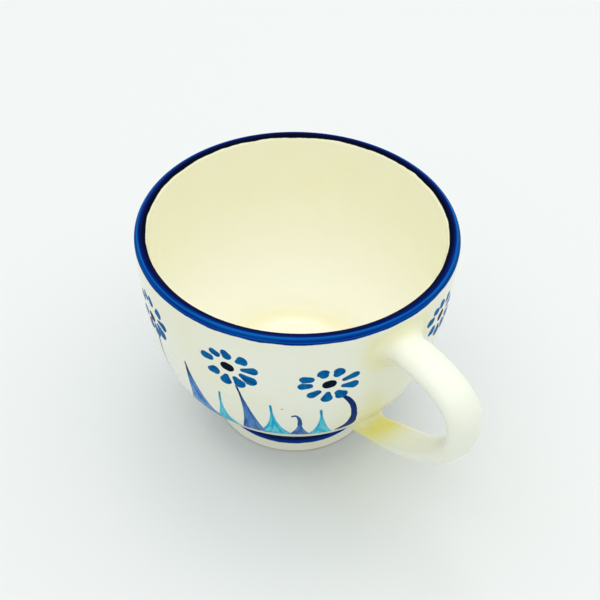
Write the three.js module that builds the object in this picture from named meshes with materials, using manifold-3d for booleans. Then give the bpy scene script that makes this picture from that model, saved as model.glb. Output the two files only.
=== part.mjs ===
// Stoneware mug: a round bowl on a turned foot ring, with a rounded lip and one ear-shaped handle.
// Millimetres, +Z up. The handle points along +X and the mug stands on z = 0.
import * as THREE from 'three';
import { mergeVertices } from 'three/addons/utils/BufferGeometryUtils.js';
import Module from 'manifold-3d';

const wasm = await Module();
wasm.setup();

// Overall sizes
const mugHeight = 82;
const rimRadius = 53;
const footRadius = 28.6;

// Lip and wall
const lipHeight = 3.5;
const lipRound = 1.9;
const wallAtRim = 4.1;
const wallAtFoot = 7.8;

// Floor and foot ring
const footHeight = 5;
const footWidth = 5;
const footFlare = 0.5;
const footWaist = 0.3;
const footEdge = 0.6;
const recessDepth = 3.2;
const floorTop = 13.5;
const floorBlend = 3.4;

// Handle: a flat oval strap that leaves the wall, turns at its furthest point and comes back lower down
const handleTopHeight = 71;
const handleLowHeight = 20;
const handleReach = 82.8;
const handleReachHeight = 58;
const handleTopRise = 7;
const handleTopPull = 20;
const handleBendAbove = 11.5;
const handleBendBelow = 19;
const handleLowRise = 22;
const handleLowPull = 15;
const handleWidth = 12.8;
const handleThickness = 7.8;
const handleSink = 9;

// Coils of clay pressed round the two ends of the handle
const coilRadius = 2.3;
const coilSpread = 0.8;
const lowCoilLength = 12;
const jointGap = 0.3;

// Fineness of the curved surfaces
const turnSegments = 56;
const outlineSteps = 16;
const insideSteps = 14;
const lipSteps = 4;
const handleSteps = 32;
const sectionSteps = 8;
const coilSteps = 28;
const coilSectionSteps = 8;

// Outside of the bowl: share of the rise from foot to lip, share of the spread from foot to rim
const bowlShape = [
  [0, 0],
  [0.045, 0.03],
  [0.10, 0.14],
  [0.17, 0.31],
  [0.25, 0.51],
  [0.36, 0.71],
  [0.49, 0.84],
  [0.65, 0.94],
  [0.83, 0.985],
  [1, 1],
];

// Inside of the floor: share of the way out to the lowest point of the wall, share of the blend's height
const floorShape = [
  [0, 0],
  [0.55, 0.06],
  [0.82, 0.35],
];

const wallTop = mugHeight - lipHeight;
const heightTries = 40;

function finish(colour, roughness) {
  return new THREE.MeshStandardMaterial({ color: colour, roughness, metalness: 0 });
}

const creamGlaze = finish('#d9d6ae', 0.15);
const cobaltLip = finish('#1b2a6b', 0.18);
const footGlaze = finish('#cfcaa2', 0.35);
const handleGlaze = finish('#dedbb4', 0.15);

// A turned solid: the outline is a list of Vector2 (radius, height), upwards on the outside
function turned(outline) {
  const geometry = new THREE.LatheGeometry(outline, turnSegments);
  geometry.rotateX(Math.PI / 2);
  return geometry;
}

function toSolid(geometry) {
  const bare = geometry.clone();
  bare.deleteAttribute('normal');
  bare.deleteAttribute('uv');
  const merged = mergeVertices(bare);
  return new wasm.Manifold(new wasm.Mesh({
    numProp: 3,
    vertProperties: new Float32Array(merged.attributes.position.array),
    triVerts: new Uint32Array(merged.index.array),
  }));
}

function toGeometry(solid) {
  const mesh = solid.getMesh();
  const geometry = new THREE.BufferGeometry();
  geometry.setAttribute('position', new THREE.BufferAttribute(new Float32Array(mesh.vertProperties), 3));
  geometry.setIndex(new THREE.BufferAttribute(new Uint32Array(mesh.triVerts), 1));
  geometry.computeVertexNormals();
  return geometry;
}

// The outside line of the bowl, from the foot to the underside of the lip
function bowlCurve() {
  return new THREE.SplineCurve(bowlShape.map(([rise, spread]) => new THREE.Vector2(
    THREE.MathUtils.lerp(footRadius, rimRadius, spread),
    THREE.MathUtils.lerp(footHeight, wallTop, rise),
  )));
}

// Points of the bowl's line moved along its outward normal; the distance depends on the share of the way up
function shiftedOutline(distanceAt, steps) {
  const curve = bowlCurve();
  const points = [];
  for (let i = 0; i <= steps; i += 1) {
    const share = i / steps;
    const along = curve.getTangent(share);
    const out = new THREE.Vector2(along.y, -along.x).multiplyScalar(distanceAt(share));
    points.push(curve.getPoint(share).add(out));
  }
  return points;
}

// The point of the bowl's outside at one height, with the slope of the wall there
function wallAt(height) {
  const curve = bowlCurve();
  let low = 0;
  let high = 1;
  for (let i = 0; i < heightTries; i += 1) {
    const middle = (low + high) / 2;
    if (curve.getPoint(middle).y < height) {
      low = middle;
    } else {
      high = middle;
    }
  }
  const along = curve.getTangent(low);
  return { radius: curve.getPoint(low).x, outward: new THREE.Vector2(along.y, -along.x) };
}

// Everything inside the bowl's outside line, grown by a gap and carried up past the lip:
// the tool that trims what is stuck on the wall
function bowlTrimmer(gap) {
  const outline = shiftedOutline(() => gap, outlineSteps);
  const above = mugHeight + lipHeight;
  outline.unshift(new THREE.Vector2(0, outline[0].y));
  outline.push(new THREE.Vector2(rimRadius + gap, above), new THREE.Vector2(0, above));
  return toSolid(turned(outline));
}

// Inside line of the bowl, from the lip down to the middle of the floor
function insideOutline() {
  const wall = shiftedOutline((share) => -THREE.MathUtils.lerp(wallAtFoot, wallAtRim, Math.sqrt(share)),
    insideSteps);
  const kept = wall.filter((point) => point.y > floorTop + floorBlend && point.y < wallTop);
  const lowest = kept[0];
  const floor = floorShape.map(([way, lift]) => (
    new THREE.Vector2(lowest.x * way, floorTop + floorBlend * lift)
  ));
  const line = [...floor, ...kept, new THREE.Vector2(rimRadius - wallAtRim, wallTop)];
  return line.reverse();
}

function cupBody() {
  const outside = shiftedOutline(() => 0, outlineSteps);
  outside[outside.length - 1].set(rimRadius, wallTop);
  const underside = [
    new THREE.Vector2(0, recessDepth),
    new THREE.Vector2(footRadius - footWidth, recessDepth),
    new THREE.Vector2(footRadius - footWidth, footHeight),
  ];
  return turned([...underside, ...outside, ...insideOutline()]);
}

// The foot ring stands under the wall, flares a little to the table and has softened edges
function footRing() {
  const inner = footRadius - footWidth;
  const outer = footRadius + footFlare;
  const outline = [
    new THREE.Vector2(inner, footHeight),
    new THREE.Vector2(inner, footEdge),
    new THREE.Vector2(inner + footEdge, 0),
    new THREE.Vector2(outer - footEdge, 0),
    new THREE.Vector2(outer, footEdge),
    new THREE.Vector2(footRadius + footFlare * footWaist, footHeight / 2),
    new THREE.Vector2(footRadius, footHeight),
    new THREE.Vector2(inner, footHeight),
  ];
  return turned(outline);
}

// The lip: two short upright sides and a rounded top
function rimLip() {
  const centre = rimRadius - wallAtRim / 2;
  const top = new THREE.Path();
  top.absellipse(centre, mugHeight - lipRound, wallAtRim / 2, lipRound, 0, Math.PI, false, 0);
  const outline = [
    new THREE.Vector2(rimRadius - wallAtRim, wallTop),
    new THREE.Vector2(rimRadius, wallTop),
    ...top.getPoints(lipSteps),
    new THREE.Vector2(rimRadius - wallAtRim, wallTop),
  ];
  return turned(outline);
}

// A point beside the mug: distance from the cup's axis, height, as a point in the plane y = 0
function beside(distance, height) {
  return new THREE.Vector3(distance, 0, height);
}

// A point on the line that leaves the wall at one height and rises at an angle in degrees
function offWall(height, rise, distance) {
  const angle = THREE.MathUtils.degToRad(rise);
  return beside(wallAt(height).radius + distance * Math.cos(angle), height + distance * Math.sin(angle));
}

// Down the middle of the strap: from inside the wall to the furthest point, and back into the wall
function handlePath() {
  const furthest = beside(handleReach, handleReachHeight);
  const path = new THREE.CurvePath();
  path.add(new THREE.CubicBezierCurve3(
    offWall(handleTopHeight, handleTopRise, -handleSink),
    offWall(handleTopHeight, handleTopRise, handleTopPull),
    furthest.clone().add(beside(0, handleBendAbove)),
    furthest,
  ));
  path.add(new THREE.CubicBezierCurve3(
    furthest,
    furthest.clone().sub(beside(0, handleBendBelow)),
    offWall(handleLowHeight, handleLowRise, handleLowPull),
    offWall(handleLowHeight, handleLowRise, -handleSink),
  ));
  return path;
}

// An oval strap along the handle's path, made wider and thicker by a gap on every side
function handleStrap(gap) {
  const section = new THREE.Shape();
  section.absellipse(0, 0, handleWidth / 2 + gap, handleThickness / 2 + gap, 0, Math.PI * 2, false, 0);
  return toSolid(new THREE.ExtrudeGeometry(section, {
    curveSegments: sectionSteps,
    steps: handleSteps,
    extrudePath: handlePath(),
  }));
}

function handle() {
  return toGeometry(handleStrap(0).subtract(bowlTrimmer(jointGap)));
}

// A ring in its own plane: an oval centre line with a round section
function ovalRing(halfLength, halfWidth, sectionRadius) {
  const ring = new THREE.TorusGeometry(halfWidth, sectionRadius, coilSectionSteps, coilSteps);
  const place = ring.attributes.position;
  for (let i = 0; i < place.count; i += 1) {
    const turn = Math.atan2(place.getY(i), place.getX(i));
    const stretch = (halfLength - halfWidth) * Math.cos(turn);
    place.setX(i, place.getX(i) + stretch);
  }
  return ring;
}

// A coil of clay laid on the wall round one end of the handle, trimmed to the wall and to the strap
function jointCoil(height, halfLength) {
  const wall = wallAt(height);
  const ring = ovalRing(halfLength, handleWidth / 2 + coilSpread, coilRadius);
  const outward = new THREE.Vector3(wall.outward.x, 0, wall.outward.y);
  const sideways = new THREE.Vector3(0, 1, 0);
  const upwards = sideways.clone().cross(outward);
  ring.applyMatrix4(new THREE.Matrix4().makeBasis(upwards, sideways, outward));
  ring.translate(wall.radius, 0, height);
  return toGeometry(toSolid(ring).subtract(bowlTrimmer(jointGap)).subtract(handleStrap(jointGap)));
}

const group = new THREE.Group();

function addPart(name, geometry, material) {
  const mesh = new THREE.Mesh(geometry, material);
  mesh.name = name;
  group.add(mesh);
}

addPart('cup_body', cupBody(), creamGlaze);
addPart('rim_lip', rimLip(), cobaltLip);
addPart('foot_ring', footRing(), footGlaze);
addPart('handle', handle(), handleGlaze);
addPart('upper_joint_coil', jointCoil(handleTopHeight, handleThickness / 2 + coilSpread), handleGlaze);
addPart('lower_joint_coil', jointCoil(handleLowHeight, lowCoilLength), handleGlaze);

// The origin is under the middle of the whole mug, handle included
const middle = new THREE.Box3().setFromObject(group).getCenter(new THREE.Vector3());
group.position.x = -middle.x;
group.updateMatrixWorld(true);

export default group;
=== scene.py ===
import bpy
import numpy as np
from mathutils import Matrix, Vector


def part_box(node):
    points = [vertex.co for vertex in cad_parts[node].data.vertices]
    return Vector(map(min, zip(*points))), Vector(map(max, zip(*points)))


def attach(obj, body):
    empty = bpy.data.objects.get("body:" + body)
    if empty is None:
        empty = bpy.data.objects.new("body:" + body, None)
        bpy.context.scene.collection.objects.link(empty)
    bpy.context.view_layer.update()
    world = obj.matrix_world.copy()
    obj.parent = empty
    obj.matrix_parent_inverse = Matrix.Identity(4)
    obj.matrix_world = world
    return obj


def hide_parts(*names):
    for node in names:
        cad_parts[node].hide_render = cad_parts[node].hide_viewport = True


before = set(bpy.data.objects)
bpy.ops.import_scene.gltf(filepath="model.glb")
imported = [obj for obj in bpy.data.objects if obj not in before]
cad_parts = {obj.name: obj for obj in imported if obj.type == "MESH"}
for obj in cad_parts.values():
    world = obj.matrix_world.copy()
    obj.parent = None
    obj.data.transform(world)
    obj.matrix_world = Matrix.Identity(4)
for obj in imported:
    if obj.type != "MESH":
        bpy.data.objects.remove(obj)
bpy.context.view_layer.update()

mm = 0.001
lipLow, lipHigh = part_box("rim_lip")
footLow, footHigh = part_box("foot_ring")
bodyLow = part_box("cup_body")[0]

# sizes in millimetres from here on; heights from the table, distances from the cup's own axis
axisX = (lipLow.x + lipHigh.x) / 2 / mm
rimRadius = (lipHigh.y - lipLow.y) / 2 / mm
rimTop = lipHigh.z / mm
wallTop = lipLow.z / mm
footFlare = 0.5
footRadius = (footHigh.y - footLow.y) / 2 / mm - footFlare
footTop = footHigh.z / mm
recessTop = bodyLow.z / mm
print(f"cup: {2 * rimRadius:.1f} across the rim, {rimTop:.1f} tall, {2 * footRadius:.1f} across the foot")


# a smooth line through the points: between two of them a cubic that passes each in the direction from its
# neighbour before to its neighbour after
def smoothLine(points, count):
    p = np.asarray(points, float)
    padded = np.vstack([p[:1], p, p[-1:]])
    t = np.linspace(0, len(p) - 1, count)
    i = np.minimum(t.astype(int), len(p) - 2)
    f = (t - i)[:, None]
    a, b, c, d = padded[i], padded[i + 1], padded[i + 2], padded[i + 3]
    return 0.5 * (2 * b + (c - a) * f + (2 * a - 5 * b + 4 * c - d) * f**2 + (3 * b - 3 * c + d - a) * f**3)


# distance run along the line, from its first point to each of its points
def lengthAlong(line):
    return np.concatenate([[0], np.cumsum(np.linalg.norm(np.diff(line, axis=0), axis=1))])


# the same line with new points; weight says how close together they stand at each old point
def respaced(line, count, weight=None):
    steps = np.diff(lengthAlong(line))
    if weight is not None:
        steps = steps * (weight[1:] + weight[:-1]) / 2
    run = np.concatenate([[0], np.cumsum(steps)])
    want = np.linspace(0, run[-1], count)
    return np.stack([np.interp(want, run, line[:, k]) for k in range(line.shape[1])], -1)


# 0 below low, 1 above high, with a soft start and end
def softStep(low, high, x):
    t = np.clip((np.asarray(x, float) - low) / (high - low), 0, 1)
    return t * t * (3 - 2 * t)


# a grid's values as a list, one for each vertex; a pole row holds one vertex
def perVertex(values, poles):
    if not poles:
        return values.reshape(-1, *values.shape[2:])
    middle = values[1:-1].reshape(-1, *values.shape[2:])
    return np.concatenate([values[0, :1], middle, values[-1, :1]])


# a closed mesh from a grid of points, one row for each point of a profile and one column for each turn round
# the piece; the first and last rows are single points (poles), or with loop the last row joins the first.
# The marks are numbers at the vertices that the materials read
def gridMesh(name, grid, normals, marks, loop=False):
    rows, cols = grid.shape[:2]
    nextCol = (np.arange(cols) + 1) % cols
    if loop:
        index = np.arange(rows * cols).reshape(rows, cols)
        index = np.vstack([index, index[:1]])
        fans = []
    else:
        index = 1 + np.arange((rows - 2) * cols).reshape(rows - 2, cols)
        last = (rows - 2) * cols + 1
        fans = [np.stack([np.zeros(cols, int), index[0][nextCol], index[0]], -1),
                np.stack([np.full(cols, last), index[-1], index[-1][nextCol]], -1)]
    quads = np.stack([index[:-1], index[:-1][:, nextCol], index[1:][:, nextCol], index[1:]], -1)
    quads = quads.reshape(-1, 4)
    verts = perVertex(grid, not loop)
    corner = verts[quads]
    volume = (corner[:, 0] * np.cross(corner[:, 1] - corner[:, 0], corner[:, 3] - corner[:, 0])).sum()
    if volume < 0:
        quads = quads[:, ::-1]
        fans = [fan[:, ::-1] for fan in fans]
    faces = quads.tolist() + [triangle for fan in fans for triangle in fan.tolist()]
    mesh = bpy.data.meshes.new(name)
    mesh.from_pydata((verts * mm).tolist(), [], faces)
    for label, values in marks.items():
        layer = mesh.attributes.new(label, "FLOAT", "POINT")
        layer.data.foreach_set("value", perVertex(values, not loop).astype(np.float32))
    mesh.shade_smooth()
    mesh.normals_split_custom_set_from_vertices(perVertex(normals, not loop).tolist())
    return mesh


# normal of a grid surface: the cross product of its steps round and along, turned to face outwards
def gridNormals(grid, outwards):
    around = np.roll(grid, -1, axis=1) - np.roll(grid, 1, axis=1)
    n = np.cross(around, np.gradient(grid, axis=0))
    n /= np.maximum(np.linalg.norm(n, axis=-1, keepdims=True), 1e-9)
    return n * np.sign((n * outwards).sum())


# puts a finished mesh into the scene: which body it rides on, its finish, and the frame's nodes it stands for
def addPiece(name, mesh, material, slotName, *nodes):
    piece = bpy.data.objects.new(name, mesh)
    bpy.context.scene.collection.objects.link(piece)
    mesh.materials.append(material)
    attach(piece, "root")
    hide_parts(*nodes)
    print(f"made {name}: {len(mesh.polygons)} faces")


# hex colour as the shaders want it
def tone(code):
    parts = np.array([int(code[k:k + 2], 16) for k in (0, 2, 4)]) / 255
    return (*np.where(parts <= 0.04045, parts / 12.92, ((parts + 0.055) / 1.055) ** 2.4).tolist(), 1.0)


# a material's node tree, with short ways to add the nodes used here
class Tree:
    def __init__(self, name):
        self.material = bpy.data.materials.new(name)
        self.material.use_nodes = True
        self.nodes = self.material.node_tree.nodes
        self.links = self.material.node_tree.links
        self.nodes.clear()

    # inputs go by the socket's name, with _ for a space, or by i and its number; sockets are linked
    def add(self, kind, settings, **inputs):
        node = self.nodes.new(kind)
        for key, value in settings.items():
            setattr(node, key, value)
        for key, value in inputs.items():
            name = key.replace("_", " ")
            socket = node.inputs[int(key[1:])] if key[1:].isdigit() else node.inputs[name]
            if isinstance(value, bpy.types.NodeSocket):
                self.links.new(value, socket)
            else:
                socket.default_value = value
        return node

    def math(self, operation, a, b=0.0, clamp=False):
        return self.add("ShaderNodeMath", {"operation": operation, "use_clamp": clamp}, i0=a, i1=b).outputs[0]

    def mix(self, share, a, b):
        return self.add("ShaderNodeMix", {"data_type": "RGBA"}, i0=share, i6=a, i7=b).outputs[2]

    # 0 below low and 1 above high, softly; the other way round where low is the greater of the two
    def step(self, value, low, high):
        return self.add("ShaderNodeMapRange", {"interpolation_type": "SMOOTHSTEP"},
                        Value=value, From_Min=low, From_Max=high).outputs[0]

    # 1 at the middle value, 0 at a width away on either side
    def ridge(self, value, middle, width):
        away = self.math("ABSOLUTE", self.math("SUBTRACT", value, middle))
        return self.rest(self.step(away, 0.0, width))

    # one of the numbers kept at the mesh's vertices
    def mark(self, label):
        return self.add("ShaderNodeAttribute", {"attribute_name": label}).outputs["Fac"]

    # where the point is on the piece, in metres, stretched by a scale
    def place(self, scale=(1, 1, 1)):
        where = self.add("ShaderNodeTexCoord", {}).outputs["Object"]
        return self.add("ShaderNodeMapping", {}, Vector=where, Scale=scale).outputs[0]

    def noise(self, vector, scale, detail=2.0, roughness=0.5):
        return self.add("ShaderNodeTexNoise", {}, Vector=vector, Scale=scale, Detail=detail,
                        Roughness=roughness).outputs["Fac"]

    def sum(self, *parts):
        total = parts[0]
        for part in parts[1:]:
            total = self.math("ADD", total, part)
        return total

    def times(self, a, b):
        return self.math("MULTIPLY", a, b)

    # 1 less the value
    def rest(self, value):
        return self.math("SUBTRACT", 1.0, value)

    # noise from 0 to 1 turned into a shift to either side
    def shift(self, noise, amount):
        return self.times(self.math("SUBTRACT", noise, 0.5), amount)

    # cover is how much paint lies under the glaze; it takes most of the shine away
    def finish(self, colour, roughness, normal, cover=None):
        shader = self.add("ShaderNodeBsdfPrincipled", {}, Base_Color=colour, Roughness=roughness,
                          Normal=normal, IOR=glaze["index"], Specular_IOR_Level=glaze["shine"])
        if cover is not None:
            shine = self.add("ShaderNodeMapRange", {}, Value=cover, To_Min=glaze["shine"],
                             To_Max=glaze["shineOverPaint"]).outputs[0]
            self.links.new(shine, shader.inputs["Specular IOR Level"])
        self.add("ShaderNodeOutputMaterial", {}, Surface=shader.outputs[0])
        return self.material


# the cream glaze and the bare clay; noise scales are waves to the metre, ripple is in metres
glaze = {
    "cream": tone("eeeee0"),
    "warm": tone("edebd2"),
    # inside: a lighter copy of the cream, painted light for the bright hollow of the cup
    "inside": tone("faf8ea"),
    # pool: yellow of pooled glaze, also used as painted shade up the inside of the cup
    "poolAndShade": tone("f0e78e"),
    "speck": tone("6e6a58"),
    "clay": tone("cdbfa2"),
    "clayDark": tone("b09f80"),
    "index": 1.45,
    "shine": 0.5,
    "shineOverPaint": 0.01,
    "roughness": 0.14,
    "roughnessDrift": {"scale": 60.0, "amount": 0.06},
    "clayRougher": 0.6,
    "ripple": 0.0003,
    "waves": {"scale": 110.0, "height": 0.5},
    "wheelRings": {"stretch": (10, 10, 240), "height": 0.12},
    "orangePeel": {"scale": 800.0, "height": 0.05},
    "drift": {"scale": 26.0, "span": (0.32, 0.72)},
    "clouds": {"scale": 85.0, "strength": 0.7, "always": 0.65},
    "specks": {"scale": 150.0, "radius": (0.04, 0.08), "chance": (0.955, 0.96), "strength": 0.75},
    "grit": {"scale": 1500.0, "span": (0.3, 0.75)},
}


# a fired glaze lies in slow waves, faint rings from the wheel and a little orange peel
def glazeRipple(tree):
    waves, rings, peel = glaze["waves"], glaze["wheelRings"], glaze["orangePeel"]
    height = tree.sum(tree.times(tree.noise(tree.place(), waves["scale"]), waves["height"]),
                      tree.times(tree.noise(tree.place(rings["stretch"]), 1.0), rings["height"]),
                      tree.times(tree.noise(tree.place(), peel["scale"]), peel["height"]))
    return tree.add("ShaderNodeBump", {}, Height=height, Strength=1.0, Distance=glaze["ripple"]).outputs[0]


# the gloss drifts a little to either side of its own roughness
def glazeRoughness(tree):
    drift = glaze["roughnessDrift"]
    least = glaze["roughness"] - drift["amount"] / 2
    return tree.sum(least, tree.times(tree.noise(tree.place(), drift["scale"]), drift["amount"]))


# cream glaze: slow drifts of tone, a lighter copy of the cream inside the cup as painted light, yellow where
# it has pooled and as painted shade up the inside, and a few iron specks
def creamColour(tree):
    drift, clouds, specks = glaze["drift"], glaze["clouds"], glaze["specks"]
    slow = tree.noise(tree.place(), drift["scale"], 3.0, 0.55)
    colour = tree.mix(tree.step(slow, *drift["span"]), glaze["cream"], glaze["warm"])
    # painted light: the inside of the cup takes the lighter copy of the cream
    colour = tree.mix(tree.mark("inner"), colour, glaze["inside"])
    cloud = tree.times(tree.noise(tree.place(), clouds["scale"], 3.0, 0.6), clouds["strength"])
    # yellow where glaze has pooled, and painted shade up the inside of the cup
    poolAndShadeShare = tree.math("MULTIPLY", tree.mark("poolAndShade"), tree.sum(cloud, clouds["always"]), True)
    colour = tree.mix(poolAndShadeShare, colour, glaze["poolAndShade"])
    dots = tree.add("ShaderNodeTexVoronoi", {}, Vector=tree.place(), Scale=specks["scale"])
    close = tree.rest(tree.step(dots.outputs["Distance"], *specks["radius"]))
    chance = tree.add("ShaderNodeSeparateColor", {}, Color=dots.outputs["Color"]).outputs[0]
    speck = tree.times(close, tree.step(chance, *specks["chance"]))
    speck = tree.times(speck, tree.rest(tree.mark("inner")))
    return tree.mix(tree.times(speck, specks["strength"]), colour, glaze["speck"])


# the paints; a pair is the two tones that its streaks run between, and a light on the lip, partly a brush
# streak and partly a painted highlight, is its place, width and strength; an edge is how soft it is and how
# far it wanders, in millimetres, and its wandering's scale
paint = {
    "petal": (tone("056aa2"), tone("044a8c")),
    "heart": (tone("060c1c"), tone("0a1a2e")),
    "blueTip": (tone("123074"), tone("0a1a4c")),
    "blueBody": (tone("6aa0d8"), tone("2468b4")),
    "blueDense": tone("0a2e6c"),
    "turquoiseTip": (tone("0c98ba"), tone("0884b0")),
    "turquoiseBody": (tone("68ceda"), tone("12a4c8")),
    "rimInner": tone("04081c"),
    "rimNavy": tone("040f4c"),
    "rimDeep": tone("042678"),
    "rimMid": tone("054296"),
    # lighter blue for the lip's brush streaks and its painted highlight
    "rimStreakAndHighlight": tone("086cb4"),
    "bandDeep": tone("000628"),
    "bandLight": tone("0a3c96"),
    "edge": (0.10, 0.22, 420.0),
    "lipEdge": (0.14, 1.2, 110.0),
    "footLineEdge": (0.12, 0.9, 120.0),
    "clayEdge": (0.12, 0.5, 300.0),
    "seedStep": 37.0,
    "brushStart": (0.08, 0.42),
    "brushEdge": {"span": (0.72, 1.05), "strength": 0.45},
    "brushStreak": {"across": 1.5, "along": 2.2, "scale": 1.5, "span": (0.38, 0.64)},
    "petalDrift": {"scale": 1.1, "span": (0.35, 0.7)},
    "heartDrift": 500.0,
    "rimStreak": {"along": 24, "across": 9.0, "span": (0.35, 0.7), "shift": 0.36},
    "rimStreaksAndHighlights": ((0.60, 0.12, 0.7), (0.84, 0.07, 0.4)),
    "rimNavySpan": (0.55, 0.38),
    "rimInnerSpan": (0.33, 0.20),
    "footStreak": {"stretch": (16, 16, 900), "shift": 0.5, "darkest": 0.52, "width": 0.5},
}


# 1 where the painted mark, moved to and fro along its edge, is positive
def painted(tree, label, edge="edge"):
    softness, wander, scale = paint[edge]
    moved = tree.shift(tree.noise(tree.place(), scale, 3.0, 0.6), wander)
    return tree.step(tree.sum(tree.mark(label), moved), -softness, softness)


# the cobalt band round the lip: near black on its inner side, then navy, then light streaks, partly left by
# the brush as the cup turned and partly a painted highlight; rimWay runs from 0 at its inner edge to 1 at its
# outer edge
def rimColour(tree):
    brush, way = paint["rimStreak"], tree.mark("rimWay")
    across = tree.add("ShaderNodeCombineXYZ", {}, Z=tree.times(way, brush["across"])).outputs[0]
    slow = tree.place((brush["along"], brush["along"], 0))
    where = tree.add("ShaderNodeVectorMath", {"operation": "ADD"}, i0=slow, i1=across).outputs[0]
    streak = tree.noise(where, 1.0, 4.0, 0.65)
    moved = tree.sum(way, tree.shift(streak, brush["shift"]))
    colour = tree.mix(tree.step(streak, *brush["span"]), paint["rimDeep"], paint["rimMid"])
    # light bands at set places across the lip: partly brush streaks, partly a painted highlight
    for middle, width, strength in paint["rimStreaksAndHighlights"]:
        colour = tree.mix(tree.times(tree.ridge(moved, middle, width), strength), colour, paint["rimStreakAndHighlight"])
    colour = tree.mix(tree.step(moved, *paint["rimNavySpan"]), colour, paint["rimNavy"])
    return tree.mix(tree.step(moved, *paint["rimInnerSpan"]), colour, paint["rimInner"])


# the navy line round the foot, darkest in its middle where the brush pressed
def footLineColour(tree):
    brush = paint["footStreak"]
    streak = tree.noise(tree.place(brush["stretch"]), 1.0, 3.0, 0.6)
    way = tree.sum(tree.mark("footWay"), tree.shift(streak, brush["shift"]))
    return tree.mix(tree.ridge(way, brush["darkest"], brush["width"]), paint["bandLight"], paint["bandDeep"])


# where a point lies in its own brush stroke; the seed keeps one stroke's streaks from running into the next
def inStroke(tree, across, along):
    seed = tree.times(tree.mark("strokeSeed"), paint["seedStep"])
    return tree.add("ShaderNodeCombineXYZ", {}, X=across, Y=along, Z=seed).outputs[0]


# brushwork: dark where the brush came to a point and along the edges, thin and streaky in its middle
def strokeColour(tree, tip, body, full=None):
    brush, edges = paint["brushStreak"], paint["brushEdge"]
    along, across = tree.mark("along"), tree.mark("across")
    where = inStroke(tree, tree.times(across, brush["across"]), tree.times(along, brush["along"]))
    streak = tree.noise(where, brush["scale"], 4.0, 0.65)
    thin = tree.mix(tree.step(streak, *brush["span"]), *body)
    if full is not None:
        thin = tree.mix(tree.mark("dense"), thin, full)
    dense = tree.mix(streak, *tip)
    edge = tree.times(tree.step(tree.math("ABSOLUTE", across), *edges["span"]), edges["strength"])
    start = tree.rest(tree.step(tree.sum(along, tree.shift(streak, 0.5)), *paint["brushStart"]))
    return tree.mix(tree.math("MAXIMUM", start, edge), thin, dense)


# petals: one press of the brush, a little uneven
def petalColour(tree):
    drift = paint["petalDrift"]
    streak = tree.noise(inStroke(tree, tree.mark("across"), tree.mark("along")), drift["scale"], 3.0)
    return tree.mix(tree.step(streak, *drift["span"]), *paint["petal"])


# cream glaze with five coats over it, the later ones on top
def cupMaterial():
    tree = Tree("paintedCreamGlaze")
    turquoise = strokeColour(tree, paint["turquoiseTip"], paint["turquoiseBody"])
    blue = strokeColour(tree, paint["blueTip"], paint["blueBody"], paint["blueDense"])
    heart = tree.mix(tree.noise(tree.place(), paint["heartDrift"]), *paint["heart"])
    coats = [(painted(tree, "turquoise"), turquoise),
             (painted(tree, "blue"), blue),
             (painted(tree, "petal"), petalColour(tree)),
             (painted(tree, "heart"), heart),
             (painted(tree, "footPaint", "footLineEdge"), footLineColour(tree))]
    colour, cover = creamColour(tree), 0.0
    for on, shade in coats:
        colour = tree.mix(on, colour, shade)
        cover = tree.math("MAXIMUM", cover, on)
    return tree.finish(colour, glazeRoughness(tree), glazeRipple(tree), cover)


def lipMaterial():
    tree = Tree("cobaltLipGlaze")
    on = painted(tree, "rimPaint", "lipEdge")
    colour = tree.mix(on, creamColour(tree), rimColour(tree))
    return tree.finish(colour, glazeRoughness(tree), glazeRipple(tree), on)


# the foot: navy line above, cream glaze under it, wiped back to sandy clay where it stands
def footMaterial():
    tree = Tree("footGlazeAndClay")
    on = painted(tree, "footPaint", "footLineEdge")
    colour = tree.mix(on, creamColour(tree), footLineColour(tree))
    grit = tree.noise(tree.place(), glaze["grit"]["scale"], 3.0, 0.7)
    clay = tree.mix(tree.step(grit, *glaze["grit"]["span"]), glaze["clay"], glaze["clayDark"])
    bare = painted(tree, "bare", "clayEdge")
    colour = tree.mix(bare, colour, clay)
    rough = tree.sum(glaze["roughness"], tree.times(bare, glaze["clayRougher"]))
    return tree.finish(colour, rough, glazeRipple(tree), tree.math("MAXIMUM", on, bare))


def handleMaterial():
    tree = Tree("creamHandleGlaze")
    return tree.finish(creamColour(tree), glazeRoughness(tree), glazeRipple(tree))


# the turned cup, in millimetres; a pool of glaze is how strong it is, where and how wide
cup = {
    "wallAtRim": 4.1,
    "wallAtFoot": 7.8,
    "lipRound": 1.9,
    "floorTop": 13.5,
    "floorBlend": 3.4,
    "footWidth": 5.0,
    "footRound": 0.7,
    "footWaist": 0.15,
    "recessFillet": 1.2,
    "columns": 560,
    "outerRows": 104,
    "innerRows": 44,
    "lipRows": 33,
    "lipSideRows": 4,
    "cornerRows": 7,
    "flatRows": 8,
    "lineSteps": 600,
    "insideSteps": 700,
    "insideEvery": 40,
    "paintedHeights": (28, 75),
    "outOfRound": 0.14,
    "throwingRings": 0.02,
    "ringPitch": 5.2,
    "lipDip": 0.12,
    # yellow painted shade growing up the inside walls, and the heights it grows over
    "paintedInsideShade": 0.26,
    "paintedInsideShadeHeights": (26, 70),
    "floorPool": {"strength": 0.34, "radius": 25.6, "width": 2.8},
    "jointPool": {"strength": 0.42, "halfWidth": 11.5, "halfHeight": 9.0, "fade": 0.22},
    "lowJointPool": {"strength": 0.32, "halfWidth": 11.5, "halfHeight": 14.5, "fade": 0.3},
    "handleTint": {"strength": 0.10, "width": 16.0},
    "footTint": 0.15,
}

# share of the rise from foot to lip, share of the spread from foot to rim
bowlShape = [(0, 0), (0.045, 0.03), (0.10, 0.14), (0.17, 0.31), (0.25, 0.51), (0.36, 0.71), (0.49, 0.84),
             (0.65, 0.94), (0.83, 0.985), (1, 1)]
# share of the way out to the wall, share of the blend's height
floorShape = [(0, 0), (0.55, 0.06), (0.82, 0.35)]

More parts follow.
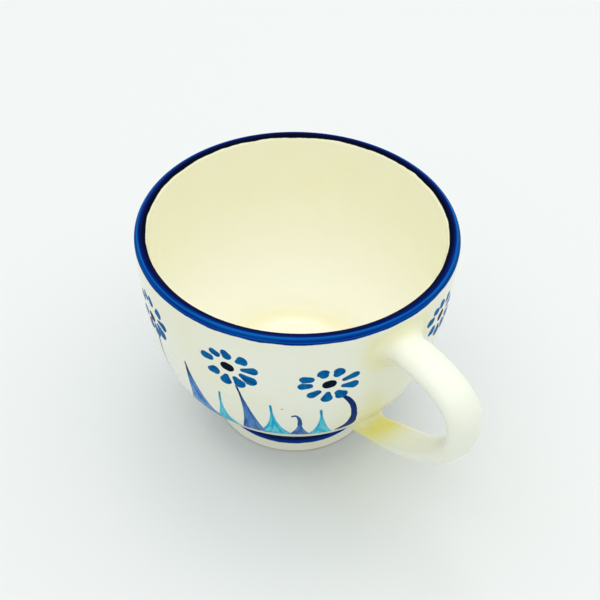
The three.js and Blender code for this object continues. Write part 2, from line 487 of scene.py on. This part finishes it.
outsideLine = smoothLine([(footRadius + spread * (rimRadius - footRadius),
                           footTop + rise * (wallTop - footTop)) for rise, spread in bowlShape],
                         cup["lineSteps"])
turns = np.linspace(0, 2 * np.pi, cup["columns"], endpoint=False)


# radius of the wall's outside, and how much it grows for each millimetre up
def wallRadius(z):
    return np.interp(z, outsideLine[:, 1], outsideLine[:, 0])


def wallSlope(z):
    return np.interp(z, outsideLine[:, 1], np.gradient(outsideLine[:, 0], outsideLine[:, 1]))


# a thrown cup is never quite round: slow waves round it and shallow rings up it, all of them inwards
def unevenness(phi, z):
    free = softStep(footTop + 1, footTop + 14, z)
    slow = 0.5 + 0.3 * np.sin(2 * phi + 0.7 + 0.02 * z) + 0.2 * np.sin(3 * phi - 1.1 - 0.03 * z)
    rings = 0.5 + 0.5 * np.sin(2 * np.pi * z / cup["ringPitch"] + 0.8 * np.sin(phi + 0.4))
    return -free * (cup["outOfRound"] * slow + cup["throwingRings"] * rings)


# an outline of (radius, height) carried round the axis, with the unevenness taken off the radius, less and
# less towards the axis, and the lip's dip taken off the height
def turned(outline):
    r, z = outline[:, :1], outline[:, 1:]
    phi = turns[None, :]
    radius = r + softStep(1.0, 14.0, r) * unevenness(phi, z)
    dip = cup["lipDip"] * softStep(wallTop - 16, rimTop, z) * (0.5 + 0.5 * np.sin(3 * phi + 0.5))
    return np.stack([axisX + radius * np.cos(phi), radius * np.sin(phi), z - dip], -1)


# points of an oval about a centre, from one direction to another, in degrees
def arc(centre, radiusX, radiusZ, start, end, count):
    a = np.radians(np.linspace(start, end, count))
    return np.stack([centre[0] + radiusX * np.cos(a), centre[1] + radiusZ * np.sin(a)], -1)


# foot ring: down its inner side, round the edge, across the flat that it stands on, round the outer edge and
# up the side, which flares a little outwards
def footOutline():
    inner, outer, edge = footRadius - cup["footWidth"], footRadius + footFlare, cup["footRound"]
    insideTop = recessTop - cup["recessFillet"]
    inside = np.array([(inner, footTop), (inner, insideTop), (inner, (insideTop + edge) / 2)])
    across = np.linspace(inner + edge, outer - edge, cup["flatRows"])[1:-1]
    flat = np.stack([across, 0 * across], -1)
    waist = (footRadius + cup["footWaist"], footTop / 2)
    side = smoothLine([(outer, edge), waist, (footRadius, footTop)], 2 * cup["flatRows"])[1:]
    return np.vstack([inside, arc((inner + edge, edge), edge, edge, 180, 270, cup["cornerRows"]), flat,
                      arc((outer - edge, edge), edge, edge, 270, 360, cup["cornerRows"]), side])


# outside of the wall; points stand closer together where the flowers are painted
def wallOutline():
    low, high = cup["paintedHeights"]
    height = outsideLine[:, 1]
    closer = softStep(low - 4, low, height) * (1 - softStep(high, high + 3, height))
    return respaced(outsideLine, cup["outerRows"], 1 + closer)


# the lip: a short side up, half an oval over the top and a short side down
def lipOutline():
    half, base = cup["wallAtRim"] / 2, rimTop - cup["lipRound"]
    heights = np.linspace(wallTop, base, cup["lipSideRows"])
    up = np.stack([rimRadius + 0 * heights, heights], -1)[:-1]
    down = np.stack([rimRadius - 2 * half + 0 * heights, heights[::-1]], -1)[1:]
    return np.vstack([up, arc((rimRadius - half, base), half, cup["lipRound"], 0, 180, cup["lipRows"]), down])


# the outside line moved in along its normal by the wall's thickness, with one point in so many kept, then
# eased into the floor
def insideOutline():
    along = np.gradient(outsideLine, axis=0)
    along /= np.linalg.norm(along, axis=1, keepdims=True)
    share = np.linspace(0, 1, len(outsideLine))[:, None]
    thick = cup["wallAtFoot"] + (cup["wallAtRim"] - cup["wallAtFoot"]) * np.sqrt(share)
    moved = outsideLine - np.stack([along[:, 1], -along[:, 0]], -1) * thick
    low = cup["floorTop"] + cup["floorBlend"]
    kept = moved[(moved[:, 1] > low) & (moved[:, 1] < wallTop - 3)][::cup["insideEvery"]]
    floor = [(kept[0, 0] * way, cup["floorTop"] + cup["floorBlend"] * lift) for way, lift in floorShape]
    top = [(rimRadius - cup["wallAtRim"], wallTop)]
    line = smoothLine(np.vstack([floor, kept, top]), cup["insideSteps"])
    return respaced(line[::-1], cup["innerRows"])


# where the painting sits, in millimetres; farOff stands for no paint anywhere near
drawing = {
    "baseLine": 28.6,
    "baseWobble": 0.4,
    "footLine": (4.1, 10.6),
    "rimOutside": 2.35,
    "rimInside": 1.0,
    "heartRadius": 1.8,
    "heartStretch": 0.55,
    "bladeTip": 0.44,
    "bladeBend": 2.2,
    "stepRound": 8.7,
    "stemShort": 8.6,
    "seed": 11,
    "farOff": -9.0,
}

# petals of the two flowers that repeat round the cup: from an angle and distance to another, both measured
# from the flower's heart, then the half widths at the two ends
petalsWide = [
    (162, 4.8, 169, 9.5, 1.4, 1.6), (122, 4.3, 138, 8.1, 1.3, 1.3), (75, 3.7, 102, 7.3, 1.7, 1.3),
    (49, 4.2, 39, 8.5, 0.9, 2.1), (4, 4.2, 6, 10.1, 0.8, 1.7), (-26, 4.1, -29, 10.6, 1.0, 2.1),
    (-63, 4.1, -59, 9.6, 1.0, 2.0), (-97, 3.5, -97, 8.8, 0.8, 2.1), (-131, 4.2, -147, 8.4, 2.0, 1.4),
]
petalsRound = [
    (149, 5.4, 161, 10.0, 1.3, 1.4), (180, 5.0, 182, 9.9, 1.2, 1.5), (112, 3.4, 112, 7.5, 1.5, 2.1),
    (63, 3.5, 61, 7.8, 1.3, 2.1), (14, 4.0, 17, 10.0, 0.9, 1.4), (-24, 4.0, -14, 9.9, 0.9, 1.8),
    (-59, 4.4, -55, 9.4, 1.3, 2.2), (-94, 3.6, -94, 9.1, 0.9, 2.0), (-132, 3.7, -140, 8.7, 1.1, 1.6),
]

# flowers: degrees round from the handle, height and tilt of the heart, which petals, their turn and size, and
# how much fuller the petals are and smaller the heart, and how far it sits below their middle; the flowers
# from pastHandle on stand past the handle
flowers = [
    (-97.9, 65.9, -16, petalsWide, -8, 0.95, 1.08, 1.9),
    (-60.4, 65.5, -16, petalsWide, 0, 1.0, 1.0, 0),
    (-25.7, 61.5, 16, petalsRound, 0, 1.0, 1.0, 0),
    (22.9, 67.4, 35, petalsWide, -2, 0.95, 1.08, 0),
    (55, 64.0, -20, petalsWide, 60, 0.95, 1.0, 0),
    (90, 65.5, 15, petalsRound, 80, 1.0, 1.05, 0.3),
    (125, 62.5, -10, petalsWide, 200, 1.0, 1.0, 0),
    (159, 65.0, 20, petalsRound, 240, 0.92, 1.1, 0),
    (194, 63.0, -15, petalsWide, 120, 1.0, 1.0, 0.4),
    (229, 65.5, 5, petalsRound, 310, 0.95, 1.0, 0),
]
pastHandle = 3

# grass blades: paint, how dense it is, degrees round at the foot and at the tip, tip height, then how wide
# they are under the tip and at the foot, in degrees, and how late they widen
blades = [
    ("blue", 0.1, -77, -79.2, 57.6, 5.2, 5.6, 5),
    ("turquoise", 0, -66, -64.9, 50.9, 1.5, 6.0, 4),
    ("blue", 0.35, -53.7, -57.8, 57.8, 2.7, 3.2, 3),
    ("turquoise", 0, -45.0, -45.9, 50.8, 2.0, 7.0, 3.4),
    ("blue", 0.4, -35, -35.3, 43.4, 1.3, 4.2, 2.8),
    ("turquoise", 0, -26.4, -27.9, 48.3, 1.9, 3.8, 3),
]

# stems and hooks: paint, how dense it is, then points of degrees round, height and half width
lines = [
    ("blue", 1.0, [(-20.6, 54.5, 0.6), (-18.0, 51.5, 0.9), (-15.7, 47, 1.0), (-14.2, 41, 1.1),
                   (-14.0, 36.5, 1.5), (-14.9, 32.8, 2.0), (-18.8, 30.4, 1.0)]),
    ("blue", 0.7, [(-38.0, 44.3, 0.45), (-36.9, 44.8, 0.5), (-35.8, 43.6, 0.55), (-35.2, 41.2, 0.7),
                   (-35.1, 38.5, 0.8)]),
    ("blue", 0.6, [(-94.6, 57.4, 0.42), (-95.2, 46, 0.42), (-96.2, 36, 0.45), (-97, 29.4, 0.5)]),
]

# drops that fell from the brush: degrees round, height, radius
spatters = [(-41.7, 48.7, 0.34), (71, 52.5, 0.3), (176, 57, 0.28)]

paintLabels = ("petal", "heart", "blue", "turquoise")
strokeLabels = ("along", "across", "strokeSeed", "dense")


# the same mix carried on round the back: under each flower a stem, then turquoise, blue and turquoise; the
# flower beside the handle has no room for a stem
def moreBlades(random):
    added = []
    for number, (angle, height, *_) in enumerate(flowers[pastHandle:]):
        lean = random.uniform(-2, 2)
        if number > 0:
            added.append(("blue", 0.4, angle - lean + 1, angle + lean, height - drawing["stemShort"],
                          2.3, 3.8, 3))
        for k, kind in enumerate(("turquoise", "blue", "turquoise")):
            foot = angle + drawing["stepRound"] * (k + 1) + random.uniform(-0.8, 0.8)
            top = random.uniform(43, 57) if kind == "blue" else random.uniform(46.5, 50.5)
            added.append((kind, random.uniform(0, 0.5), foot, foot + random.uniform(-2.5, 1.5), top,
                          random.uniform(1.5, 2.6), random.uniform(3.6, 5.2), random.uniform(2.6, 4)))
    return added


# distance inside a round-ended bar that widens from one end to the other, the share of the way along it, and
# how far to its side the point lies, 1 at the edge
def insideBar(u, v, start, end, startWidth, endWidth):
    du, dv = end[0] - start[0], end[1] - start[1]
    length = max(np.hypot(du, dv), 0.05)
    share = np.clip(((u - start[0]) * du + (v - start[1]) * dv) / length**2, 0, 1)
    side = ((u - start[0]) * dv - (v - start[1]) * du) / length
    width = startWidth + (endWidth - startWidth) * share
    away = np.hypot(u - start[0] - share * du, v - start[1] - share * dv)
    return width - away, share, np.clip(side / width, -1.2, 1.2)


# marks for the painter: each paint's is the distance in millimetres inside it, negative outside; along,
# across, strokeSeed and dense belong to the nearest stroke
class Painting:
    def __init__(self, phi, z):
        self.phi, self.z = phi, z
        self.degree = wallRadius(z) * np.pi / 180
        self.marks = {label: np.full(phi.shape, drawing["farOff"]) for label in paintLabels}
        self.best = np.full(phi.shape, drawing["farOff"])
        self.marks.update({label: np.zeros(phi.shape) for label in strokeLabels})

    # millimetres round the wall from an angle in degrees, the short way
    def aside(self, angle):
        return ((self.phi - angle + 180) % 360 - 180) * self.degree

    # adds one stroke to a paint, and takes over the brush marks where it is the nearest so far
    def put(self, label, inside, along, across, seed, dense=0.0):
        self.marks[label] = np.maximum(self.marks[label], inside)
        nearest = inside > self.best
        self.best = np.where(nearest, inside, self.best)
        for name, values in zip(strokeLabels, (along, across, seed, dense)):
            self.marks[name] = np.where(nearest, values, self.marks[name])

    def bar(self, label, u, v, start, end, startWidth, endWidth, seed, span=(0, 1), dense=0.0):
        inside, share, across = insideBar(u, v, start, end, startWidth, endWidth)
        self.put(label, inside, span[0] + (span[1] - span[0]) * share, across, seed, dense)

    # petals stand round the heart as bars, each drawn in from its two ends by its own half widths
    def flower(self, angle, height, tilt, petals, turn, size, full, drop, random):
        u, v = self.aside(angle), self.z - height
        for fromAngle, fromFar, toAngle, toFar, startWidth, endWidth in petals:
            a, b = np.radians([fromAngle + turn, toAngle + turn])
            first = np.array([np.cos(a), np.sin(a)]) * fromFar * size
            last = np.array([np.cos(b), np.sin(b)]) * toFar * size
            startWidth, endWidth = startWidth * size * full, endWidth * size * full
            way = (last - first) / np.linalg.norm(last - first)
            self.bar("petal", u, v, first + way * startWidth, last - way * endWidth, startWidth, endWidth,
                     random.uniform())
        lean = np.radians(tilt)
        half = np.array([np.cos(lean), np.sin(lean)]) * drawing["heartStretch"]
        radius = drawing["heartRadius"] / full
        self.bar("heart", u, v + drop, -half, half, radius, radius, random.uniform())

    # a stem or hook: one brush stroke made of short bars along a smooth line
    def line(self, label, dense, points, random):
        smooth = smoothLine(points, 6 * len(points))
        seed = random.uniform()
        share = np.linspace(0, 1, len(smooth))
        angle = points[0][0]
        u, v = self.aside(angle), self.z
        across = (smooth[:, 0] - angle) * wallRadius(smooth[:, 1]) * np.pi / 180
        for k in range(len(smooth) - 1):
            self.bar(label, u, v, (across[k], smooth[k, 1]), (across[k + 1], smooth[k + 1, 1]),
                     smooth[k, 2], smooth[k + 1, 2], seed, share[k:k + 2], dense)

    # half width = neck * share + spread * share ** power, where share runs from the tip down to the base
    def blade(self, label, dense, foot, tip, top, neck, spread, power, random):
        base = drawing["baseLine"] + random.uniform(-drawing["baseWobble"], drawing["baseWobble"])
        share = (top - self.z) / (top - base)
        below = np.clip(share, 0, 1)
        middle = foot + (tip - foot) * (1 - below) ** drawing["bladeBend"]
        half = (neck * below + spread * below**power) * self.degree
        half = np.maximum(half, drawing["bladeTip"] * softStep(-0.04, 0.05, share))
        slope = (neck + power * spread * below ** (power - 1)) * self.degree / (top - base)
        off = self.aside(middle)
        side = (half - np.abs(off)) / np.sqrt(1 + slope**2)
        inside = np.minimum(side, np.minimum(top - self.z, self.z - base))
        across = np.clip(off / np.maximum(half, 0.2), -1.2, 1.2)
        self.put(label, inside, below, across, random.uniform(), dense)


# the whole painting, worked out at points of the wall: degrees round and height
def paintFlowers(phi, z):
    random = np.random.default_rng(drawing["seed"])
    painting = Painting(phi, z)
    for label, *shape in blades + moreBlades(random):
        painting.blade(label, *shape, random)
    for label, dense, points in lines:
        painting.line(label, dense, points, random)
    for flower in flowers:
        painting.flower(*flower, random)
    for angle, height, size in spatters:
        painting.bar("heart", painting.aside(angle), z - height, (0, 0), (0.1, 0.1), size, size,
                     random.uniform())
    return painting.marks


# distance inside the navy line, and the share of the way up it
def footMarks(z):
    low, high = drawing["footLine"]
    return np.minimum(z - low, high - z), (z - low) / (high - low)


# the handle, in millimetres and degrees; a span is in shares of the way down the strap from its upper end
strap = {
    "topHeight": 71,
    "lowHeight": 20,
    "reach": 82.8,
    "reachHeight": 58,
    "topRise": 7,
    "topPull": 20,
    "bendAbove": 11.5,
    "bendBelow": 19,
    "lowRise": 22,
    "lowPull": 15,
    "sink": 9,
    "width": 12.8,
    "thickness": 7.8,
    "columns": 96,
    "pathSteps": 300,
    "middleRows": 150,
    "filletRows": 18,
    "topFillet": 4.6,
    "topFilletUnder": 1.2,
    "lowFillet": 1.4,
    "lowFilletAbove": 4.6,
    "rootDepth": 1.2,
    "capRows": 6,
    "unevenWidth": 0.16,
    "unevenThickness": 0.6,
    "unevenWaves": 9,
    "unevenStart": 2.3,
    "lowTaper": 0.16,
    "taperSpan": (0.66, 0.92),
    "lowHollow": 0.3,
    "lowHollowSpan": (0.7, 0.95),
    "bendHollow": 0.24,
    "bendHollowPlace": 0.67,
    "bendHollowWidth": 0.09,
    "poolReach": 2.6,
    "topPool": 0.4,
    "lowPool": 1.0,
    "lowPoolWider": 0.9,
    "lowPoolPlace": 4.6,
    "lowPoolHeights": (34, 44),
    "skinDepth": 0.06,
}


# a point of the strap's plane on the line that leaves the wall at a height and rises at an angle
def offWall(height, rise, distance):
    a = np.radians(rise)
    return np.array([wallRadius(height) + distance * np.cos(a), height + distance * np.sin(a)])


# cubic curve through four control points, at shares t of the way
def cubic(points, t):
    a, b, c, d = points
    t = t[:, None]
    return (1 - t) ** 3 * a + 3 * t * (1 - t) ** 2 * b + 3 * t**2 * (1 - t) * c + t**3 * d


# the strap's path down its middle, as in the frame: two cubic curves that meet at the furthest point
def strapPath(count):
    furthest = np.array([strap["reach"], strap["reachHeight"]])
    t = np.linspace(0, 1, count)
    top = [offWall(strap["topHeight"], strap["topRise"], -strap["sink"]),
           offWall(strap["topHeight"], strap["topRise"], strap["topPull"]),
           furthest + (0, strap["bendAbove"]), furthest]
    low = [furthest, furthest - (0, strap["bendBelow"]),
           offWall(strap["lowHeight"], strap["lowRise"], strap["lowPull"]),
           offWall(strap["lowHeight"], strap["lowRise"], -strap["sink"])]
    return respaced(np.vstack([cubic(top, t), cubic(low, t)[1:]]), 2 * count)


# distance out from the wall, and the wall's own outward direction, for points measured from the cup's axis
def offTheWall(p):
    far = np.hypot(p[..., 0], p[..., 1])
    wall = wallRadius(p[..., 2]) + unevenness(np.arctan2(p[..., 1], p[..., 0]), p[..., 2])
    slope = wallSlope(p[..., 2])
    steep = 1 / np.sqrt(1 + slope**2)
    out = np.stack([p[..., 0] / far * steep, p[..., 1] / far * steep, -slope * steep], -1)
    return (far - wall) * steep, out


# points moved straight off the wall until they stand at the wanted distance from it
def settled(p, distance):
    for _ in range(4):
        gap, out = offTheWall(p)
        p = p + out * (distance - gap)[..., None]
    return p


# the row, with its fraction, where each column first rises above each level
def crossing(gap, levels):
    above = gap[None] > levels[:, None]
    first = np.maximum(above.argmax(axis=1), 1)
    cols = np.arange(gap.shape[1])[None]
    low, high = gap[first - 1, cols], gap[first, cols]
    return first - 1 + (levels - low) / (high - low)


# the grid's points at such rows, each column read by itself
def readRows(grid, rows):
    i = np.clip(rows.astype(int), 0, len(grid) - 2)
    f = (rows - i)[..., None]
    cols = np.arange(grid.shape[1])[None]
    return grid[i, cols] * (1 - f) + grid[i + 1, cols] * f


# an oval carried down the path, and for each of its points the direction square to the oval's edge. Its half
# width and thickness wave a little and taper at the low end; its outer side is pressed flatter there, and its
# inner side in the bend
def strapOvals(path):
    tangent = np.gradient(path, axis=0)
    tangent /= np.linalg.norm(tangent, axis=1, keepdims=True)
    outer = np.stack([-tangent[:, 1], tangent[:, 0]], -1)
    outer *= np.sign(outer[len(path) // 2, 0])
    outerX, outerZ = outer[:, None, 0], outer[:, None, 1]
    theta = np.linspace(0, 2 * np.pi, strap["columns"], endpoint=False)[None, :]
    wide, thick = np.cos(theta), np.sin(theta)
    share = np.linspace(0, 1, len(path))[:, None]
    wave = np.sin(strap["unevenWaves"] * share - strap["unevenStart"])
    thin = strap["unevenWidth"] * (0.5 + 0.5 * wave)
    taper = 1 - strap["lowTaper"] * softStep(*strap["taperSpan"], share)
    halfWide = (strap["width"] / 2 - thin) * taper
    halfThick = (strap["thickness"] / 2 - strap["unevenThickness"] * thin) * taper
    bend = (share - strap["bendHollowPlace"]) / strap["bendHollowWidth"]
    hollow = np.where(thick > 0, strap["lowHollow"] * softStep(*strap["lowHollowSpan"], share),
                      strap["bendHollow"] * np.exp(-bend**2))
    lift = halfThick * thick * (1 - hollow)
    pathX, pathZ = path[:, None, 0], path[:, None, 1]
    points = np.stack([pathX + lift * outerX, halfWide * wide, pathZ + lift * outerZ], -1)
    aim = np.stack([halfWide * thick * outerX, halfThick * wide + 0 * share, halfWide * thick * outerZ], -1)
    return points, aim, np.minimum(thick[0], 0) ** 2


# the strap with a quarter-round fillet at each end: at a distance d from the wall the surface is pushed out
# along the wall by f - sqrt(f² - (f - d)²), where f is the fillet's size
def strapSurface():
    points, aim, fingerSide = strapOvals(strapPath(strap["pathSteps"]))
    gap, _ = offTheWall(points)
    psi = np.linspace(0, np.pi / 2, strap["filletRows"])[:, None]
    ends = []
    for flip, fillet in ((False, strap["topFillet"] + strap["topFilletUnder"] * fingerSide),
                         (True, strap["lowFillet"] + strap["lowFilletAbove"] * fingerSide)):
        levels = np.vstack([-strap["rootDepth"] + 0 * fillet, fillet * (1 - np.cos(psi))])
        push = np.vstack([fillet, fillet * (1 - np.sin(psi))])
        rows = crossing(gap[::-1] if flip else gap, levels)
        if flip:
            rows = len(gap) - 1 - rows
        ends.append((rows, endOf(points, aim, rows, levels, push)))
    (topRows, topEnd), (lowRows, lowEnd) = ends
    share = np.linspace(0, 1, strap["middleRows"] + 2)[1:-1, None]
    middle = readRows(points, topRows[-1] + (lowRows[-1] - topRows[-1]) * share)
    return np.vstack([topEnd, middle, lowEnd[::-1]])


# one filleted end of the strap, from under the wall's skin out to where the fillet stops
def endOf(points, aim, rows, levels, push):
    start, way = readRows(points, rows), readRows(aim, rows)
    _, out = offTheWall(start)
    way = way - out * (way * out).sum(-1, keepdims=True)
    way /= np.linalg.norm(way, axis=-1, keepdims=True)
    return settled(start + way * push[..., None], levels)


# closes an end: rings that shrink towards the middle of the root, all at the same depth in the wall
def rootCap(ring):
    middle = ring.mean(axis=0)
    shares = np.linspace(0, 1, strap["capRows"] + 1)[:-1, None, None]
    rings = middle + (ring - middle) * shares
    return settled(rings, np.full(rings.shape[:2], -strap["rootDepth"]))


# the handle's skin meets the wall's with the wall's own normals, and glaze has pooled round both its ends
def makeHandle():
    surface = strapSurface()
    grid = np.vstack([rootCap(surface[0]), surface, rootCap(surface[-1])[::-1]])
    grid[0], grid[-1] = grid[0].mean(axis=0), grid[-1].mean(axis=0)
    normals = gridNormals(grid, grid - grid.mean(axis=1, keepdims=True))
    gap, out = offTheWall(grid)
    skin = 1 - softStep(0.0, strap["skinDepth"], gap)[..., None]
    normals = normals * (1 - skin) + out * skin
    normals /= np.linalg.norm(normals, axis=-1, keepdims=True)
    low = 1 - softStep(*strap["lowPoolHeights"], grid[..., 2])
    reach = strap["poolReach"] * (1 + strap["lowPoolWider"] * low)
    off = np.where(low > 0.5, gap - strap["lowPoolPlace"], np.maximum(gap, 0))
    strength = strap["topPool"] + (strap["lowPool"] - strap["topPool"]) * low
    poolAndShade = strength * np.exp(-((np.abs(off) / reach) ** 2))
    return gridMesh("pulledHandle", grid + (axisX, 0, 0), normals, {"poolAndShade": poolAndShade})


# foot, wall, lip and inside are one chain of points, turned together so that the pieces share their edges
print("turning the cup")
foot, wall, lip, inside = footOutline(), wallOutline(), lipOutline(), insideOutline()
chain = np.vstack([foot, wall[1:], lip[1:], inside[1:]])
footEnd = len(foot)
wallEnd = footEnd + len(wall) - 1
lipEnd = wallEnd + len(lip) - 1
grid = turned(chain)
along = np.gradient(chain, axis=0)
along /= np.linalg.norm(along, axis=1, keepdims=True)
outwards = np.stack([along[:, 1:] * np.cos(turns), along[:, 1:] * np.sin(turns),
                     -along[:, :1] + 0 * turns[None]], -1)
normals = gridNormals(grid, outwards)
normals[-1] = (0, 0, 1)


# one value for each row, carried to every column
def spread(values):
    return np.repeat(np.asarray(values, float)[:, None], cup["columns"], axis=1)


# the foot ring: the navy line's lower edge at its top, bare clay where it stands
def makeFoot():
    rows = slice(0, footEnd)
    z = chain[rows, 1]
    paintMark, way = footMarks(z)
    outer = chain[rows, 0] > footRadius - cup["footWidth"] / 2
    edge = cup["footRound"]
    # clay shows up to three quarters of the rounded edge's height
    bare = np.where(z < edge, 1.3 * (edge * 0.75 - z), -1.0)
    marks = {"footPaint": spread(np.where(outer, paintMark, drawing["farOff"])), "footWay": spread(way),
             "bare": spread(bare), "poolAndShade": spread(np.where(outer, 0.0, cup["footTint"]))}
    return gridMesh("foot_ring", grid[rows], normals[rows], marks, loop=True)


# the lip: distances along its outline from its top give the band's two edges and the way across it
def makeLip():
    rows = slice(wallEnd - 1, lipEnd)
    run = lengthAlong(chain[rows])
    z = chain[rows, 1]
    top = run[np.argmax(z)]
    outerEdge = top - (run[z > rimTop - drawing["rimOutside"]].min())
    innerEdge = run[z > rimTop - drawing["rimInside"]].max() - top
    band = np.minimum(run - (top - outerEdge), top + innerEdge - run)
    way = (top + innerEdge - run) / (outerEdge + innerEdge)
    inner = softStep(top - 0.3, top + 0.3, run)
    marks = {"rimPaint": spread(band), "rimWay": spread(way), "inner": spread(inner),
             # the lip's inner side takes the inside's yellow painted shade
             "poolAndShade": spread(cup["paintedInsideShade"] * inner)}
    return gridMesh("rim_lip", grid[rows], normals[rows], marks, loop=True)


# glaze gathers in the corner between wall and floor, and round the two joints of the handle; the inside grows
# yellower towards the top as painted shade, and the outside beside the handle is tinted yellow in a band up
# the wall
def poolAndShadeMarks(points, isInside):
    x, y, z = points[..., 0] - axisX, points[..., 1], points[..., 2]
    floor, top, low, tint = cup["floorPool"], cup["jointPool"], cup["lowJointPool"], cup["handleTint"]
    ring = floor["strength"] * np.exp(-(((np.hypot(x, y) - floor["radius"]) / floor["width"]) ** 2))
    # painted shade: the inside turns yellower towards the top
    back = cup["paintedInsideShade"] * softStep(*cup["paintedInsideShadeHeights"], z)
    upper = np.hypot(y / top["halfWidth"], (z - strap["topHeight"]) / top["halfHeight"])
    lower = np.hypot(y / low["halfWidth"], (z - strap["lowHeight"] - 1) / low["halfHeight"])
    joints = (top["strength"] * np.exp(-np.abs(upper - 1.0) / top["fade"])
              + low["strength"] * np.exp(-np.maximum(lower - 1.0, 0) / low["fade"]))
    side = tint["strength"] * np.exp(-(y / tint["width"]) ** 2)
    return np.where(isInside, ring + back, (joints + side) * (x > 0))


# the body: recess underneath, joint with the foot, outside, joint with the lip, inside and floor
def makeBody():
    innerRadius, fillet = footRadius - cup["footWidth"], cup["recessFillet"]
    across = np.linspace(0, innerRadius - fillet, cup["flatRows"] + 1)[:-1]
    ceiling = np.stack([across, np.full(len(across), recessTop)], -1)
    corner = arc((innerRadius - fillet, recessTop - fillet), fillet, fillet, 90, 0, cup["cornerRows"])
    under = np.vstack([ceiling, corner, [(innerRadius, footTop)]])
    underNormals = np.zeros((len(under), cup["columns"], 3))
    underNormals[..., 2] = -1
    bend = np.radians(np.linspace(90, 0, cup["cornerRows"]))[:, None]
    hollow = np.stack([-np.cos(bend) * np.cos(turns), -np.cos(bend) * np.sin(turns),
                       -np.sin(bend) + 0 * turns], -1)
    underNormals[len(ceiling):len(ceiling) + len(corner)] = hollow
    outerRows, innerRows = slice(footEnd - 1, wallEnd), slice(lipEnd - 1, len(chain))
    bodyGrid = np.vstack([turned(under), grid[outerRows], grid[innerRows]])
    bodyNormals = np.vstack([underNormals, normals[outerRows], normals[innerRows]])
    height = bodyGrid[..., 2]
    firstInside = len(under) + len(grid[outerRows])
    isOutside = np.zeros(height.shape, bool)
    isOutside[len(under):firstInside] = True
    isInside = np.zeros(height.shape, bool)
    isInside[firstInside:] = True
    marks = paintFlowers(np.degrees(turns) + 0 * height, height)
    marks["footPaint"], marks["footWay"] = footMarks(height)
    for label in (*paintLabels, "footPaint"):
        marks[label] = np.where(isOutside, marks[label], drawing["farOff"])
    marks["poolAndShade"] = poolAndShadeMarks(bodyGrid, isInside)
    marks["inner"] = isInside.astype(float)
    return gridMesh("cup_body", bodyGrid, bodyNormals, marks)


addPiece("cupBody", makeBody(), cupMaterial(), "cream_glaze", "cup_body")
addPiece("rimLip", makeLip(), lipMaterial(), "cobalt_lip", "rim_lip")
addPiece("footRing", makeFoot(), footMaterial(), "foot_glaze", "foot_ring")
addPiece("pulledHandle", makeHandle(), handleMaterial(), "handle_glaze",
         "handle", "upper_joint_coil", "lower_joint_coil")


# metres, watts and degrees, with the lens in millimetres
studio = {
    "floorSize": 6.0,
    "floorTone": tone("e2e3e2"),
    "worldTone": (0.895, 0.975, 0.99, 1.0),
    "worldStrength": 0.83,
    "overhead": {"watts": 17.0, "size": 3.2, "spot": (-0.12, 0.25, 1.50), "colour": (1.0, 0.93, 0.90)},
    "glint": {"watts": 0.8, "size": 0.40, "spot": (-0.30, 0.23, 1.20), "colour": (1.0, 0.95, 0.92)},
    "front": {"watts": 1.2, "size": 1.4, "spot": (0.45, -0.70, 1.15), "colour": (1.0, 0.97, 0.95)},
    "camera": {"spot": (0.19157, -0.15993, 0.30063), "down": 43.94, "turn": 52.2, "roll": 1.41, "lens": 63},
    "lightsAim": (0, 0, 0.04),
}


# a plain pale table
def makeFloor():
    half = studio["floorSize"] / 2
    mesh = bpy.data.meshes.new("floor")
    corners = [(-half, -half, 0), (half, -half, 0), (half, half, 0), (-half, half, 0)]
    mesh.from_pydata(corners, [], [(0, 1, 2, 3)])
    floor = bpy.data.objects.new("floor", mesh)
    bpy.context.scene.collection.objects.link(floor)
    tree = Tree("paleTable")
    shader = tree.add("ShaderNodeBsdfPrincipled", {}, Base_Color=studio["floorTone"], Roughness=0.6)
    tree.add("ShaderNodeOutputMaterial", {}, Surface=shader.outputs[0])
    mesh.materials.append(tree.material)


# a round soft light that looks at the mug
def makeLight(name, watts, size, spot, colour):
    data = bpy.data.lights.new(name, "AREA")
    data.shape = "DISK"
    data.energy = watts
    data.color = colour
    data.size = size
    light = bpy.data.objects.new(name, data)
    bpy.context.scene.collection.objects.link(light)
    light.location = spot
    aim = Vector(studio["lightsAim"]) - Vector(spot)
    light.rotation_euler = aim.to_track_quat("-Z", "Y").to_euler()


# down is how far the camera looks below level, turn is which way round, roll tips it to one side
def makeCamera(spot, down, turn, roll, lens):
    data = bpy.data.cameras.new("camera")
    data.lens = lens
    data.sensor_width = 36
    camera = bpy.data.objects.new("camera", data)
    bpy.context.scene.collection.objects.link(camera)
    facing = (Matrix.Rotation(np.radians(turn), 4, "Z") @ Matrix.Rotation(np.radians(90 - down), 4, "X")
              @ Matrix.Rotation(np.radians(roll), 4, "Z"))
    camera.matrix_world = Matrix.Translation(spot) @ facing
    bpy.context.scene.camera = camera


makeFloor()
for light in ("overhead", "glint", "front"):
    makeLight(light, **studio[light])
makeCamera(**studio["camera"])
world = bpy.data.worlds.new("studioAir")
world.use_nodes = True
world.node_tree.nodes["Background"].inputs["Color"].default_value = studio["worldTone"]
world.node_tree.nodes["Background"].inputs["Strength"].default_value = studio["worldStrength"]
bpy.context.scene.world = world
bpy.context.scene.view_settings.view_transform = "Standard"
print("lights and camera set")
